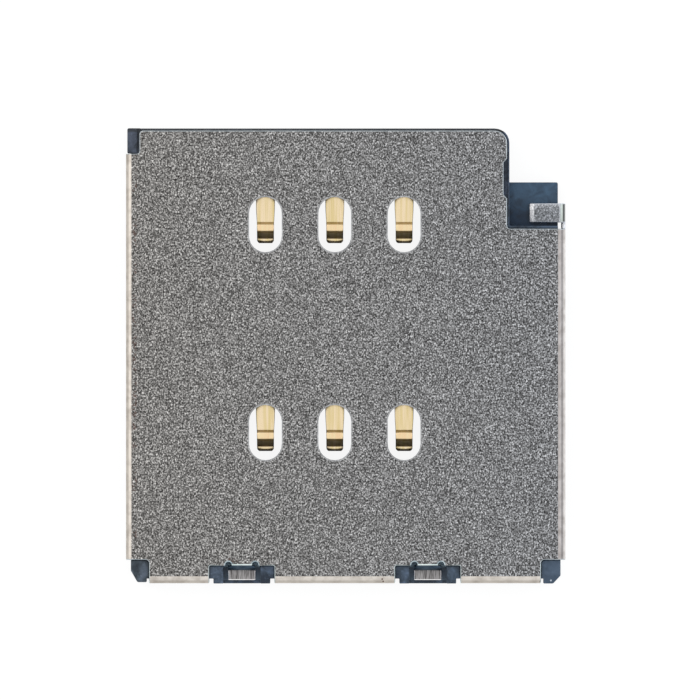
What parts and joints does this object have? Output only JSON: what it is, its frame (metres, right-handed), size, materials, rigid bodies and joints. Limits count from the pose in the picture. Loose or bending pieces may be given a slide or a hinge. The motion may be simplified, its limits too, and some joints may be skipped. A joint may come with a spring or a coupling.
{
  "type": "sim card socket",
  "caption": "Low-profile surface-mount card socket: folded steel cover over a dark moulded floor, with sprung gold contacts under racetrack slots and a tray mouth along one edge.",
  "frame": {"origin": "under the middle of the part, on the board plane", "axes": "+Z away from the board, +Y out of the tray mouth, +X to the right when seen from above with the mouth at the top"},
  "size_m": [0.0162, 0.0166, 0.0014],
  "materials": {
    "cover_steel": "fine matt grain, bare steel",
    "moulded_plastic": "moulded, dark grey-blue",
    "contact_gold": "gold-plated copper alloy, polished"
  },
  "bodies": {
    "socket": {"shell": "cover_steel", "housing": "moulded_plastic", "detect_terminal": "contact_gold"},
    "spring_c1": {"contact_c1": "contact_gold"},
    "spring_c2": {"contact_c2": "contact_gold"},
    "spring_c3": {"contact_c3": "contact_gold"},
    "spring_c5": {"contact_c5": "contact_gold"},
    "spring_c6": {"contact_c6": "contact_gold"},
    "spring_c7": {"contact_c7": "contact_gold"},
    "detect_leaf": {"detect_spring": "contact_gold"}
  },
  "joints": [
    {"name": "press_c1", "type": "hinge", "parent": "socket", "child": "spring_c1", "pos_m": [-0.00294, 0.00734, 0.00012], "axis": [1, 0, 0], "range_deg": [0, 11], "stiffness_Nm_per_rad": 0.005},
    {"name": "press_c2", "type": "hinge", "parent": "socket", "child": "spring_c2", "pos_m": [-0.0004, 0.00734, 0.00012], "axis": [1, 0, 0], "range_deg": [0, 11], "stiffness_Nm_per_rad": 0.005},
    {"name": "press_c3", "type": "hinge", "parent": "socket", "child": "spring_c3", "pos_m": [0.00214, 0.00734, 0.00012], "axis": [1, 0, 0], "range_deg": [0, 11], "stiffness_Nm_per_rad": 0.005},
    {"name": "press_c5", "type": "hinge", "parent": "socket", "child": "spring_c5", "pos_m": [-0.00294, -0.00028, 0.00012], "axis": [1, 0, 0], "range_deg": [0, 11], "stiffness_Nm_per_rad": 0.005},
    {"name": "press_c6", "type": "hinge", "parent": "socket", "child": "spring_c6", "pos_m": [-0.0004, -0.00028, 0.00012], "axis": [1, 0, 0], "range_deg": [0, 11], "stiffness_Nm_per_rad": 0.005},
    {"name": "press_c7", "type": "hinge", "parent": "socket", "child": "spring_c7", "pos_m": [0.00214, -0.00028, 0.00012], "axis": [1, 0, 0], "range_deg": [0, 11], "stiffness_Nm_per_rad": 0.005},
    {"name": "detect_swing", "type": "hinge", "parent": "socket", "child": "detect_leaf", "pos_m": [0.0065, -0.0024, 0.0007], "axis": [0, 0, 1], "range_deg": [0, 4], "stiffness_Nm_per_rad": 0.002}
  ]
}
